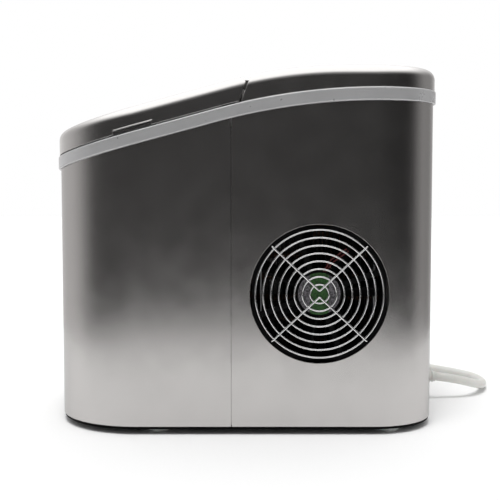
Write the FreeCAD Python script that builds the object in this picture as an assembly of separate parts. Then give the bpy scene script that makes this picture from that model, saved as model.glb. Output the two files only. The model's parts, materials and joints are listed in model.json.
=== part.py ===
"""Countertop bullet-ice maker, as an assembly of separate pieces.

Millimetres, +Z up.  The origin is under the middle of the case, on the surface it stands
on.  -Y is the front (the lid side), +Y the back and +X the side with the fan opening.
"""
import FreeCAD, Part
import math
import os

V = FreeCAD.Vector

# ---------------------------------------------------------------- case outline, seen from above
SIDE = 118.7              # half width of the painted shell
ENDS = 176.7              # front-most and rear-most point of the painted shell
FRONT_BOW = 304.0         # radius of the bowed front
FRONT_CORNER = 78.0
REAR_CORNER = 58.5
SHELL_WALL = 2.4
SHELL_BOTTOM = 7.5

# ---------------------------------------------------------------- case outline, seen from the side
SLOPE = 15.06             # fall of the front part, degrees
EDGE_Z = 297.0            # top edge of the shell at the back
EDGE_RADIUS = 547.0
EDGE_FLAT_Y = 119.7
TOP_Z = 328.0             # highest line of the roof
TOP_RADIUS = 400.0
TOP_FLAT_Y = 90.0

BAND_PROUD = 2.3
BAND_HEIGHT = 11.6
ROOF_PROUD = 1.2
ROOF_WALL = 2.6
SHOULDER = 9.0            # rounding of the roof's upper edge
LID_LIFT = 1.2            # gap under the lid's edge
SEAM_Y = -9.9             # joint between the front and the rear shell
SEAM_GAP = 0.8
TONGUE = 1.7              # lap joint behind the seam
LAP = (10.0, 12.0)        # how far the lap reaches before and behind the seam
LOUVRE = 3.6              # height of an air slot
LOUVRE_PITCH = 9.0
SIDE_LOUVRES = (74.0, 114.0, 44.0, 12)    # y from, y to, first z, rows
PANEL_HALF = 56.0         # rear panel opening, half width
PANEL_Z = (13.0, 272.0)
PANEL_THICK = 2.2
PANEL_PLAY = 0.4
FLANGE = 9.5              # width of the seat behind the rear panel
FLANGE_THICK = 2.0
FLANGE_Z = (40.0, 252.0)  # opening between the seat's lower and upper parts
PANEL_LOUVRES = (39.0, 146.0, 11)         # width, first z, rows
SCREW_X = 51.5
SCREW_Z = (50.0, 150.0, 262.0)
SCREW_R = 1.6
SCREW_LENGTH = 8.0
CROSS = (2.2, 0.4, 0.9)   # screw recess: half length, half width, height of its floor
PLATE_BOX = (-28.0, 38.0, 70.0, 112.0)    # blank rating plate: x from, x to, z from, z to

# ---------------------------------------------------------------- lid, hinge and cover
HINGE_Y = -1.5
HINGE_Z = 312.6
HINGE_BEAD = 4.0
GAP_Y = -2.2              # middle of the gap between lid and cover, at height GAP_Z
GAP_Z = 295.5
GAP_LEAN = 19.9
GAP_WIDTH = 2.2
PIN_R = 2.0
PIN_X = (78.0, 106.0)
EAR_X = (88.0, 96.0)
EAR_R = 4.2
SIDE_PLAY = 0.5
EAR_POCKET = 8.0
NOTCH_Y = (-112.9, -79.7)
NOTCH_HEIGHT = 3.2
NOTCH_DEPTH = 6.0
CURTAIN = 2.0             # thickness of the wall behind the notch
NOTCH_RIM = (0.9, 0.5)    # width and height of the bead round the notch
UPSTAND = (3.4, 4.7, 3.4) # rib inside the lid's edge: outer inset, inner inset, height
UPSTAND_END = -18.0
WINDOW_X = 70.0
WINDOW_Y = (-150.0, -45.0)
WINDOW_CORNER = 12.0
WINDOW_LEDGE = 5.0
WINDOW_GAP = 0.3

# ---------------------------------------------------------------- controls on the cover
PANEL_X = 62.0
PANEL_Y = (22.0, 88.0)
PANEL_CORNER = 8.0
PANEL_DEPTH = 1.5
BUTTON_X = 35.0
BUTTON_Y = 55.0
BUTTON_R = 7.0
BUTTON_PROUD = 1.2
BUTTON_FIT = 0.1
BUTTON_STEM_R = 2.5
LENS_R = 2.0
LENS_PITCH = 9.0
LENS_COUNT = 4
BOARD_Z = 309.0
BOARD_THICK = 1.6
SWITCH_HEIGHT = 3.2

# ---------------------------------------------------------------- base
BASE_Z = 5.0
BASE_INSET = 1.0
RIM_INSET = 5.0
RIM_WALL = 2.5
RIM_TOP = 24.0
RIM_CLEAR = 0.2           # play round a screw's shank
BASE_VENTS = (30.0, 24.0, 8, 4.0)         # half width, first y, rows, height
FOOT_SCREW_R = 2.0
DRAIN_HOLE_R = 14.0
FOOT_R = 10.0
FOOT_X = 98.0
FOOT_Y = (-76.8, 132.8)

# ---------------------------------------------------------------- fan
FAN_Y = 68.2
FAN_Z = 126.5
FAN_OPENING = 61.9
FAN_HALF = 59.5
FAN_X = (90.3, 115.3)
FAN_BORE = 57.0
FAN_HUB = 20.0
FAN_HUB_FLOOR = 107.3
FAN_SPOKE = 5.0
FAN_HOLE = 52.5
FAN_SCREW_R = 2.0
FAN_PLATE = 4.0           # thickness of the frame's two square plates
FAN_SHAFT_R = 2.5
FAN_SPOKES = (4, 20.0)    # count and angle of the first
ROTOR_HUB = (19.0, 93.2)  # radius and inner end
ROTOR_R = 55.5
FAN_BLADES = 7
BLADE_ROOT = 18.0
BLADE_TIP = 54.5
BLADE_CHORD = 28.0
BLADE_PITCH = 62.0        # degrees
BLADE_X = 99.4
BLADE_DEPTH = 14.0
LEAD_R = 0.6
LEAD_PITCH = 2.0
LEAD_START = 3.0          # beside the middle of the hub
LEAD_RISE = (30.0, 40.0)
LEAD_OUT = (7.0, 21.0)
LEAD_BEND = 5.0
GUARD_WIRE = 0.85
GUARD_RINGS = 8
GUARD_FIRST = 8.35
GUARD_PITCH = 6.95
GUARD_X = 117.1
STRUT_X = 118.45
STRUT_APEX = 2.7
STRUT_END = 42.2

# ---------------------------------------------------------------- tub, tray, shovel and basket
TUB_INSET = 11.0
TUB_WALL = 2.5
TUB_FLOOR = 58.0
TUB_REAR = -8.0
ALCOVE_Z = 202.5
ALCOVE_REAR = 42.5
BOSS_X = 92.0
TRAY_BOSS_R = 9.0
SHOVEL_BOSS_R = 7.0
TUB_LEDGE = 3.5           # thickness of the ledge that carries the basket
DECK = (8.0, 10.5)
DECK_OPENING_INSET = 19.0
DECK_OPENING_REAR = 38.0
TRAY_Y = -6.0
TRAY_Z = 254.0
TRAY_R = 42.5
TRAY_WALL = 2.5
TRAY_X = 78.0
TRAY_EDGE = 22.0          # angle of the tray's two long edges below the axis
TRAY_BRIM = 14.5
TRAY_HUB = 9.0
TRAY_ARM = 16.0
TRAY_SHAFT = 4.0
RUNNING = 0.05
SHOVEL_Y = -54.0
SHOVEL_Z = 262.0
SHOVEL_LENGTH = 38.0
SHOVEL_X = 74.0
SHOVEL_SHAFT = 3.0
BASKET_INSET = 20.0
BASKET_WALL = 2.0
BASKET_Z = (125.0, 228.0)
BASKET_REAR = -62.0
EVAPORATOR_Z = 269.0
EVAPORATOR_Y = (-16.0, 4.0)
FINGER_R = 5.5
FINGER_BOTTOM = 227.0
FINGER_PITCH = 28.0
LOOP_X = -68.0            # far end of the evaporator's loop
PIPE_R = 3.0
PIPE_BEND = 8.0
CHANNEL_X = 111.2         # pipes and hose run between the tub and the shell here
WALL_PASS = 6.0           # radius of the holes where they pass through the tub's wall

# ---------------------------------------------------------------- cooling and water machinery
CONDENSER_X = (54.0, 84.0)
CONDENSER_Y = (16.0, 120.0)
CONDENSER_Z = (68.0, 184.0)
FIN_PITCH = 4.0
FIN_THICK = 0.5
TUBE_ROWS = 6
TUBE_PITCH = 20.0
TUBE_LOW_Z = 78.0
COMPRESSOR = (-45.0, 100.0)
COMPRESSOR_R = 50.0
COMPRESSOR_Z = (28.0, 150.0)
COMPRESSOR_WALL = 3.0
MOTOR_R = 38.0            # plain block for the motor inside the sealed can
MOTOR_TOP = 105.0
DOME = 22.0               # rounding of the can's two ends
CAN_SEAM = (88.0, 91.0)
SUCTION = (-22.0, 100.0, 156.0)           # top of the suction stub
DISCHARGE = (12.0, 85.0, 120.0)           # end of the discharge stub
STUB_R = 4.5
STUB_BORE = 1.5
LUG = (9.0, 24.0, 27.0)                   # radius, underside and top
MOUNT_RING = 56.0
MOUNT_ANGLES = (45, 165, 285)
MOUNT_R = 8.0
MOUNT_PIN_R = 3.0
RISER_X = 30.0            # discharge pipe's upright
RISER_Z = 200.0
REAR_RUN_Y = 152.0
HOT_Z = 215.0             # height of the hot gas valve
VALVE_X = (58.0, 80.0)
DRIER = (40.0, 158.0, 92.0, 152.0, 9.0)   # x, y, lower end, upper end, radius
TUBE_END_Y = 140.0
CAPILLARY_R = 1.2
CAPILLARY_X = 96.0
CHANNEL_END_Y = 60.0      # where the evaporator's two ends meet their pipes
RETURN_DROP = 17.0
PUMP = (70.0, -38.0)
PUMP_R = 17.0
PUMP_CHAMBER = (34.0, 47.0)               # floor and roof of the pumping head
PUMP_WALL = 3.0
PUMP_NECK = (5.0, 56.0)                   # radius and top of the inlet
PUMP_PORT = (4.0, 24.0, 40.0)             # outlet radius, reach and height
PUMP_SHAFT_R = 2.0
VANES = 6
INLET_HOSE = (6.6, 5.0)
FILL_HOSE = (3.3, 2.2)
FILL_END = (72.0, 252.0)                  # x and height of the mouth over the tray
DRAIN = (60.0, -120.0)
DRAIN_BORE = 6.0
DRAIN_R = 8.0
DRAIN_FLANGE = (12.0, 3.0)                # radius and thickness
DRAIN_END = 5.5
CAP_R = 11.5
CAP_Z = (1.6, 12.0)
CAP_FLOOR = 2.8
CAP_GRIPS = 12
GRIP_R = 1.4
BOARD_Y = 160.0

# ---------------------------------------------------------------- mains cord
CORD_R = 4.5
CORD_EXIT = V(-25.0, 200.0, 24.0)
COIL_CENTRE = (-188.0, 62.0)
COIL_RING = 54.0          # radius of the middle of the coil
COIL_Z = 4 * CORD_R
PLUG_Y = -30.0
RELIEF_R = 8.0
PLUG_BODY = (13.0, 34.0, 10.0)            # half width, length behind the neck, half height
PIN_SPACING = 12.7
BLADE = (1.5, 6.3, 17.0)                  # thickness, height, length


# ================================================================ small helpers
def block(x0, x1, y0, y1, z0, z1):
    return Part.makeBox(x1 - x0, y1 - y0, z1 - z0, V(x0, y0, z0))


def rod_x(x0, x1, y, z, r):
    return Part.makeCylinder(r, x1 - x0, V(x0, y, z), V(1, 0, 0))


def rod_y(y0, y1, x, z, r):
    return Part.makeCylinder(r, y1 - y0, V(x, y0, z), V(0, 1, 0))


def rod_z(z0, z1, x, y, r):
    return Part.makeCylinder(r, z1 - z0, V(x, y, z0))


def rounded_block(x0, x1, y0, y1, z0, z1, r):
    solid = block(x0, x1, y0, y1, z0, z1)
    upright = [e for e in solid.Edges if abs(e.tangentAt(e.FirstParameter).z) > 0.9]
    return solid.makeFillet(r, upright)


def fuse(pieces):
    return pieces[0].multiFuse(pieces[1:]).removeSplitter() if len(pieces) > 1 else pieces[0]


def mirror_x(shape):
    return shape.mirror(V(0, 0, 0), V(1, 0, 0))


def save(name, shape):
    shape.exportStep("parts/%s.step" % name)
    volume = sum(s.Volume for s in shape.Solids)
    print("%-26s solids %2d  valid %s  %.1f cm3" % (name, len(shape.Solids), shape.isValid(), volume / 1000))


# ================================================================ the case outline
def plan_wire(offset):
    """Outline of the case from above, moved outwards by offset."""
    bow_y = FRONT_BOW - ENDS
    corner_x = SIDE - FRONT_CORNER
    corner_y = bow_y - math.sqrt((FRONT_BOW - FRONT_CORNER) ** 2 - corner_x ** 2)
    sweep = math.asin(corner_x / (FRONT_BOW - FRONT_CORNER))
    bow_r = FRONT_BOW + offset
    front_r = FRONT_CORNER + offset
    rear_r = REAR_CORNER + offset
    side = SIDE + offset
    rear_y = ENDS - REAR_CORNER
    meet = V(bow_r * math.sin(sweep), bow_y - bow_r * math.cos(sweep), 0)
    turn = 0.5 * (sweep + math.pi / 2)
    front_mid = V(corner_x + front_r * math.sin(turn), corner_y - front_r * math.cos(turn), 0)
    front_end = V(side, corner_y, 0)
    rear_start = V(side, rear_y, 0)
    half = math.sqrt(0.5) * rear_r
    rear_mid = V(SIDE - REAR_CORNER + half, rear_y + half, 0)
    rear_end = V(SIDE - REAR_CORNER, rear_y + rear_r, 0)

    def left(p):
        return V(-p.x, p.y, 0)

    edges = [
        Part.Arc(left(meet), V(0, bow_y - bow_r, 0), meet),
        Part.Arc(meet, front_mid, front_end),
        Part.LineSegment(front_end, rear_start),
        Part.Arc(rear_start, rear_mid, rear_end),
        Part.LineSegment(rear_end, left(rear_end)),
        Part.Arc(left(rear_end), left(rear_mid), left(rear_start)),
        Part.LineSegment(left(rear_start), left(front_end)),
        Part.Arc(left(front_end), left(front_mid), left(meet)),
    ]
    return Part.Wire([e.toShape() for e in edges])


def plan_prism(offset, z0, z1):
    prism = Part.Face(plan_wire(offset)).extrude(V(0, 0, z1 - z0))
    prism.translate(V(0, 0, z0))
    return prism


def under(line, rise=0.0, floor=-20.0):
    """Everything under a side line of the case, with the line moved up by rise."""
    flat_z, radius, flat_y = line
    angle = math.radians(SLOPE)
    reach = 260.0
    top = flat_z + rise

    def on_arc(a):
        return V(-reach, flat_y - radius * math.sin(a), top - radius * (1 - math.cos(a)))

    bend = on_arc(angle)
    front = V(-reach, -reach, bend.z - math.tan(angle) * (bend.y + reach))
    rear = V(-reach, reach, top)
    edges = [
        Part.LineSegment(V(-reach, reach, floor), rear),
        Part.LineSegment(rear, on_arc(0.0)),
        Part.Arc(on_arc(0.0), on_arc(angle / 2), bend),
        Part.LineSegment(bend, front),
        Part.LineSegment(front, V(-reach, -reach, floor)),
        Part.LineSegment(V(-reach, -reach, floor), V(-reach, reach, floor)),
    ]
    wire = Part.Wire([e.toShape() for e in edges])
    return Part.Face(wire).extrude(V(2 * reach, 0, 0))


EDGE = (EDGE_Z, EDGE_RADIUS, EDGE_FLAT_Y)
TOP = (TOP_Z, TOP_RADIUS, TOP_FLAT_Y)


def layer(line, low, high):
    return under(line, high).cut(under(line, low))


def top_height(y):
    """Height of the roof line at y."""
    if y >= TOP_FLAT_Y:
        return TOP_Z
    return TOP_Z - TOP_RADIUS + math.sqrt(TOP_RADIUS ** 2 - (TOP_FLAT_Y - y) ** 2)


def behind_gap(shift):
    """Half space behind the slanted gap plane, moved rearwards by shift."""
    size = 400.0
    half = block(-size, size, 0, size, -size, size)
    half.rotate(V(0, 0, 0), V(1, 0, 0), -GAP_LEAN)
    lean = math.radians(GAP_LEAN)
    half.translate(V(0, GAP_Y + shift / math.cos(lean), GAP_Z))
    return half


# ================================================================ tubes along bent paths
def bent_wire(points, bend=None, report=None):
    """Straight runs joined by tangent arcs; a free cord's arcs take 0.45 of the shorter run."""
    edges = []
    start = points[0]
    for before, corner, after in zip(points, points[1:], points[2:]):
        back = (before - corner).normalize()
        ahead = (after - corner).normalize()
        half_turn = (math.pi - back.getAngle(ahead)) / 2
        shorter = min((before - corner).Length, (after - corner).Length)
        radius = bend if bend else 0.45 * shorter / math.tan(half_turn)
        if report is not None:
            report.append(radius)
        tangent = radius * math.tan(half_turn)
        inwards = (back + ahead).normalize()
        centre = corner + inwards * (radius / math.cos(half_turn))
        first = corner + back * tangent
        last = corner + ahead * tangent
        if (first - start).Length > 0.001:
            edges.append(Part.LineSegment(start, first).toShape())
        edges.append(Part.Arc(first, centre - inwards * radius, last).toShape())
        start = last
    edges.append(Part.LineSegment(start, points[-1]).toShape())
    return Part.Wire(edges)


def tube(points, radius, bend=None, report=None):
    path = bent_wire(points, bend, report)
    circle = Part.makeCircle(radius, points[0], points[1] - points[0])
    return path.makePipeShell([Part.Wire(circle)], True, True)


def hollow_tube(points, outer, inner, bend):
    return tube(points, outer, bend).cut(tube(points, inner, bend))


# ================================================================ casing
def shell_ring():
    ring = plan_prism(0, SHELL_BOTTOM, TOP_Z).cut(plan_prism(-SHELL_WALL, SHELL_BOTTOM, TOP_Z))
    return ring.common(under(EDGE))


def front_shell():
    wide = SIDE * 2
    front = shell_ring().common(block(-wide, wide, -wide, SEAM_Y - SEAM_GAP / 2, 0, TOP_Z))
    inset = SHELL_WALL + 0.2
    tongue = plan_prism(-inset, SHELL_BOTTOM + 1, EDGE_Z).cut(
        plan_prism(-SHELL_WALL - TONGUE, 0, TOP_Z))
    root = plan_prism(-SHELL_WALL + 0.1, SHELL_BOTTOM + 1, EDGE_Z).cut(
        plan_prism(-SHELL_WALL - TONGUE, 0, TOP_Z))
    start = SEAM_Y - LAP[0]
    tongue = tongue.common(block(-wide, wide, start, SEAM_Y + LAP[1], 0, TOP_Z))
    root = root.common(block(-wide, wide, start, SEAM_Y - SEAM_GAP / 2, 0, TOP_Z))
    lap = tongue.fuse(root).common(under(EDGE, -7))
    return fuse([front, lap])


def fan_screw_places():
    return [(FAN_Y + a, FAN_Z + b) for a in (-FAN_HOLE, FAN_HOLE) for b in (-FAN_HOLE, FAN_HOLE)]


def rear_shell():
    wide = SIDE * 2
    body = shell_ring().common(block(-wide, wide, SEAM_Y + SEAM_GAP / 2, wide, 0, TOP_Z))
    cuts = [rod_x(SIDE - 10, SIDE + 5, FAN_Y, FAN_Z, FAN_OPENING)]
    y0, y1, first, rows = SIDE_LOUVRES
    for row in range(rows):
        z = first + LOUVRE_PITCH * row
        cuts.append(block(-SIDE - 5, -SIDE + 5, y0, y1, z, z + LOUVRE))
    cuts.append(block(-PANEL_HALF, PANEL_HALF, ENDS - 5, ENDS + 5, PANEL_Z[0], PANEL_Z[1]))
    for y, z in fan_screw_places():
        cuts.append(rod_x(FAN_X[1], SIDE - 1, y, z, FAN_SCREW_R))
    body = body.cut(Part.makeCompound(cuts))
    return fuse([body, panel_seat()])


def panel_seat():
    """Flange behind the rear panel, with its screw holes and the passage for the lead."""
    face = ENDS - SHELL_WALL
    back = face - FLANGE_THICK
    edge = PANEL_HALF + FLANGE / 2
    inner = PANEL_HALF - FLANGE
    seat = block(-edge, edge, back, face + 0.1, SHELL_BOTTOM + 2, PANEL_Z[1] + FLANGE / 2)
    cuts = [block(-inner, inner, back, ENDS, FLANGE_Z[0], FLANGE_Z[1]),
            block(-PANEL_HALF, PANEL_HALF, face, ENDS, 0, TOP_Z),
            rod_y(back, ENDS, CORD_EXIT.x, CORD_EXIT.z, RELIEF_R + RIM_CLEAR)]
    cuts += [rod_y(back, ENDS, x, z, SCREW_R) for x, z in panel_screw_places()]
    return seat.cut(Part.makeCompound(cuts))


def panel_screw_places():
    return [(x, z) for x in (-SCREW_X, SCREW_X) for z in SCREW_Z]


def rear_panel():
    half = PANEL_HALF - PANEL_PLAY
    low, high = PANEL_Z
    plate = rounded_block(-half, half, ENDS - PANEL_THICK, ENDS, low + PANEL_PLAY, high - PANEL_PLAY, 0.5)
    inside = ENDS - PANEL_THICK
    cuts = [rod_y(inside, ENDS, CORD_EXIT.x, CORD_EXIT.z, RELIEF_R)]
    cuts += [rod_y(inside, ENDS, x, z, SCREW_R) for x, z in panel_screw_places()]
    width, first, rows = PANEL_LOUVRES
    for row in range(rows):
        z = first + LOUVRE_PITCH * row
        for middle in (-width / 2 - 3, width / 2 + 3):
            cuts.append(block(middle - width / 2, middle + width / 2, inside, ENDS, z, z + LOUVRE))
    return plate.cut(Part.makeCompound(cuts))


def rear_panel_screws():
    screws = []
    long, thin, floor = CROSS
    low, high = ENDS + floor, ENDS + 2 * SCREW_R
    for x, z in panel_screw_places():
        shank = rod_y(ENDS - SCREW_LENGTH, ENDS + 0.2, x, z, SCREW_R)
        head = rod_y(ENDS, ENDS + SCREW_R, x, z, 2 * SCREW_R)
        head = head.makeFillet(SCREW_R / 2, [head.Edges[0]])
        slot = block(x - long, x + long, low, high, z - thin, z + thin)
        cross = block(x - thin, x + thin, low, high, z - long, z + long)
        screws.append(shank.fuse(head).cut(slot).cut(cross))
    return Part.makeCompound(screws)


def rating_plate():
    x0, x1, z0, z1 = PLATE_BOX
    return rounded_block(x0, x1, ENDS, ENDS + 0.4, z0, z1, 0.1)


def base_tray():
    plate = plan_prism(-BASE_INSET, BASE_Z, SHELL_BOTTOM)
    rim = plan_prism(-RIM_INSET, SHELL_BOTTOM - 0.5, RIM_TOP).cut(
        plan_prism(-RIM_INSET - RIM_WALL, 0, 100))
    body = fuse([plate, rim])
    cuts = [rod_z(0, RIM_TOP, DRAIN[0], DRAIN[1], DRAIN_HOLE_R)]
    cuts += [rod_z(0, RIM_TOP, x, y, FOOT_SCREW_R + RIM_CLEAR) for x, y in foot_places()]
    half, first, rows, height = BASE_VENTS
    for row in range(rows):
        y = first + LOUVRE_PITCH * row
        cuts.append(block(-half, half, y, y + height, 0, RIM_TOP))
    return body.cut(Part.makeCompound(cuts))


def foot_places():
    return [(x, y) for x in (-FOOT_X, FOOT_X) for y in FOOT_Y]


def feet():
    pads = []
    for x, y in foot_places():
        pad = rod_z(0, BASE_Z, x, y, FOOT_R)
        pad = pad.makeFillet(1.2, [pad.Edges[2]])
        pads.append(pad.cut(rod_z(1.5, 10, x, y, FOOT_SCREW_R + 0.2)))
    return Part.makeCompound(pads)


def base_screws():
    screws = []
    for x, y in foot_places():
        shank = rod_z(1.7, 12, x, y, FOOT_SCREW_R)
        head = rod_z(SHELL_BOTTOM, SHELL_BOTTOM + 2.5, x, y, 2 * FOOT_SCREW_R)
        screws.append(shank.fuse(head))
    return Part.makeCompound(screws)


def deck_opening():
    opening = plan_prism(-DECK_OPENING_INSET, 0, TOP_Z + 20)
    return opening.common(block(-SIDE, SIDE, -ENDS, DECK_OPENING_REAR, 0, TOP_Z + 20))


def top_frame():
    tall = TOP_Z + 20
    band = plan_prism(BAND_PROUD, 0, tall).cut(plan_prism(-4.7, 0, tall))
    band = band.common(layer(EDGE, 0, BAND_HEIGHT))
    outer = [e for e in band.Edges if e.Length > 20
             and abs(e.CenterOfMass.z) > 200 and is_outer(e, BAND_PROUD)]
    band = band.makeFillet(1.2, outer)
    web = plan_prism(-4.6, 0, tall).common(layer(EDGE, DECK[0], DECK[1])).cut(deck_opening())
    lip = plan_prism(-SHELL_WALL - 0.3, 0, tall).cut(plan_prism(-4.7, 0, tall))
    lip = lip.common(layer(EDGE, -6, 0.5))
    return fuse([band, web, lip, upstand()])


def upstand():
    """Rib that stands up just inside the lid's edge and closes the sight line, save at the notches."""
    tall = TOP_Z + 20
    outer, inner, height = UPSTAND
    rib = plan_prism(-outer, 0, tall).cut(plan_prism(-inner, 0, tall))
    rib = rib.common(layer(EDGE, BAND_HEIGHT - 0.5, BAND_HEIGHT + height))
    rib = rib.common(block(-SIDE, SIDE, -ENDS, UPSTAND_END, 0, tall))
    return rib.cut(block(-SIDE, SIDE, NOTCH_Y[0] - 4, NOTCH_Y[1] + 4, 0, tall))


def is_outer(edge, offset):
    """True for an edge that lies all along the outline at this offset."""
    wire = plan_wire(offset)
    for share in (0.1, 0.5, 0.9):
        span = edge.LastParameter - edge.FirstParameter
        p = edge.valueAt(edge.FirstParameter + share * span)
        near = Part.Vertex(V(p.x, p.y, 0)).distToShape(wire)[0]
        if near > 0.05:
            return False
    return True


def roof(offset, drop, rounding):
    """The whole rounded roof, lid and cover together."""
    body = plan_prism(offset, 150, TOP_Z + 20).common(under(TOP, -drop))
    rims = [e for e in body.Edges if e.CenterOfMass.z > 200 and is_outer(e, offset)
            and e.BoundBox.ZMin > 240]
    return body.makeFillet(rounding, rims)


def roof_skin():
    outer = roof(ROOF_PROUD, 0, SHOULDER)
    inner = roof(ROOF_PROUD - ROOF_WALL, ROOF_WALL, SHOULDER - ROOF_WALL)
    return outer, outer.cut(inner)


def hinge_zone(r, x0, x1):
    return rod_x(x0, x1, HINGE_Y, HINGE_Z, r)


def lid_frame(outer, skin):
    above = outer.cut(under(EDGE, BAND_HEIGHT + LID_LIFT))
    front = skin.common(above).cut(behind_gap(-GAP_WIDTH / 2))
    wall = above.cut(behind_gap(-GAP_WIDTH / 2)).common(behind_gap(-GAP_WIDTH / 2 - ROOF_WALL))
    over = block(-SIDE * 2, SIDE * 2, HINGE_Y, HINGE_Y + 30, HINGE_Z, HINGE_Z + 30)
    over = over.cut(hinge_zone(HINGE_BEAD, -SIDE * 2, SIDE * 2))
    bead = hinge_zone(HINGE_BEAD, -112, 112)
    body = fuse([front, wall, bead]).cut(over)
    ledge = block(-WINDOW_X - 6, WINDOW_X + 6, WINDOW_Y[0] - 6, WINDOW_Y[1] + 6, 200, 400)
    ledge = ledge.common(layer(TOP, -ROOF_WALL - 2.4, -ROOF_WALL + 0.1))
    deep = SIDE - NOTCH_DEPTH
    curtain = block(deep - CURTAIN, deep, NOTCH_Y[0] - 3, NOTCH_Y[1] + 3, 200, 400)
    curtains = above.common(Part.makeCompound([curtain, mirror_x(curtain)]))
    wide, proud = NOTCH_RIM
    rim = plan_prism(ROOF_PROUD + proud, 200, 400).cut(plan_prism(ROOF_PROUD - 1, 200, 400))
    rim = rim.common(block(-SIDE * 2, SIDE * 2, NOTCH_Y[0] - wide, NOTCH_Y[1] + wide, 200, 400))
    low = BAND_HEIGHT + LID_LIFT
    rim = rim.common(layer(EDGE, low, low + NOTCH_HEIGHT + wide))
    cuts = [window_prism(WINDOW_GAP).common(layer(TOP, -ROOF_WALL, 20)),
            window_prism(-WINDOW_LEDGE)]
    notch = block(-SIDE * 2, SIDE * 2, NOTCH_Y[0], NOTCH_Y[1], 0, 400)
    notch = notch.common(under(EDGE, low + NOTCH_HEIGHT))
    cuts.append(notch.cut(block(-SIDE + NOTCH_DEPTH, SIDE - NOTCH_DEPTH, -300, 300, 0, 400)))
    for sign in (-1, 1):
        x0, x1 = sorted((sign * (EAR_X[0] - SIDE_PLAY), sign * (EAR_X[1] + SIDE_PLAY)))
        cuts.append(hinge_zone(EAR_POCKET, x0, x1))
        x0, x1 = sorted((sign * PIN_X[0], sign * PIN_X[1]))
        cuts.append(hinge_zone(PIN_R, x0, x1))
    return fuse([body, ledge, curtains, rim]).cut(Part.makeCompound(cuts))


def window_prism(grow):
    return rounded_block(-WINDOW_X - grow, WINDOW_X + grow, WINDOW_Y[0] - grow,
                         WINDOW_Y[1] + grow, 200, 400, WINDOW_CORNER + grow)


def lid_window():
    return window_prism(0).common(layer(TOP, -ROOF_WALL, -0.2))


def lid_hinge_pins():
    return Part.makeCompound([hinge_zone(PIN_R, PIN_X[0], PIN_X[1]),
                              hinge_zone(PIN_R, -PIN_X[1], -PIN_X[0])])


def panel_prism(grow):
    return rounded_block(-PANEL_X - grow, PANEL_X + grow, PANEL_Y[0] - grow, PANEL_Y[1] + grow,
                         200, 400, PANEL_CORNER + grow)


def button_axis():
    """Point where a button meets the roof, and the roof's normal there."""
    lean = math.asin((TOP_FLAT_Y - BUTTON_Y) / TOP_RADIUS)
    return V(0, BUTTON_Y, top_height(BUTTON_Y)), V(0, -math.sin(lean), math.cos(lean))


def button_rod(x, low, high, r):
    centre, normal = button_axis()
    return Part.makeCylinder(r, high - low, centre + V(x, 0, 0) + normal * low, normal)


def lens_places():
    return [(i - (LENS_COUNT - 1) / 2) * LENS_PITCH for i in range(LENS_COUNT)]


def lens_rod(x, r, low, high):
    y = BUTTON_Y + 18
    return rod_z(200, 400, x, y, r).common(layer(TOP, low, high))


def top_cover(outer, skin):
    above = outer.cut(under(EDGE, BAND_HEIGHT))
    rear = skin.common(above).common(behind_gap(GAP_WIDTH / 2))
    wall = above.common(behind_gap(GAP_WIDTH / 2)).cut(behind_gap(GAP_WIDTH / 2 + ROOF_WALL))
    seat = block(-PANEL_X - 4, PANEL_X + 4, PANEL_Y[0] - 4, PANEL_Y[1] + 4, 200, 400)
    seat = seat.common(layer(TOP, -ROOF_WALL - 1, -ROOF_WALL + 0.1))
    ears = []
    for sign in (-1, 1):
        x0, x1 = sorted((sign * EAR_X[0], sign * EAR_X[1]))
        arm = block(x0, x1, HINGE_Y, HINGE_Y + 9.5, HINGE_Z - EAR_R, HINGE_Z + EAR_R)
        ear = arm.fuse(hinge_zone(EAR_R, x0, x1))
        ears.append(ear.cut(hinge_zone(PIN_R + RUNNING, x0 - 1, x1 + 1)))
    body = fuse([rear, wall, seat] + ears)
    cuts = [panel_prism(WINDOW_GAP).common(layer(TOP, -PANEL_DEPTH, 20))]
    for x in (-BUTTON_X, BUTTON_X):
        cuts.append(button_rod(x, -12, 5, BUTTON_R + 0.5))
    for x in lens_places():
        cuts.append(rod_z(200, 400, x, BUTTON_Y + 18, LENS_R))
    return body.cut(Part.makeCompound(cuts))


def control_panel():
    plate = panel_prism(0).common(layer(TOP, -PANEL_DEPTH, 0))
    cuts = [button_rod(x, -12, 5, BUTTON_R + BUTTON_FIT) for x in (-BUTTON_X, BUTTON_X)]
    cuts += [rod_z(200, 400, x, BUTTON_Y + 18, LENS_R) for x in lens_places()]
    return plate.cut(Part.makeCompound(cuts))


def button(x):
    centre, _ = button_axis()
    cap = button_rod(x, -4, BUTTON_PROUD, BUTTON_R)
    cap = cap.makeFillet(0.6, [e for e in cap.Edges if e.CenterOfMass.z > centre.z])
    stem_end = BOARD_Z + BOARD_THICK + SWITCH_HEIGHT + 1.2 - centre.z
    return cap.fuse(button_rod(x, stem_end, -3, BUTTON_STEM_R))


def indicator_lenses():
    return Part.makeCompound([lens_rod(x, LENS_R, -5, 0.4) for x in lens_places()])


def control_board():
    board = block(-58, 58, 28, 84, BOARD_Z, BOARD_Z + BOARD_THICK)
    top = BOARD_Z + BOARD_THICK
    pieces = [board]
    for x in (-BUTTON_X, BUTTON_X):
        pieces.append(rounded_block(x - 4, x + 4, BUTTON_Y - 4, BUTTON_Y + 4, top - 0.1,
                                    top + SWITCH_HEIGHT, 0.5))
    for x in lens_places():
        pieces.append(rod_z(top - 0.1, top + 4, x, BUTTON_Y + 18, 1.5))
    posts = []
    for x in (-54, 54):
        for y in (32, 80):
            post = rod_z(290, BOARD_Z + 0.1, x, y, 3)
            posts.append(post.cut(under(EDGE, DECK[1])))
    return fuse(pieces + posts)


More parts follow.
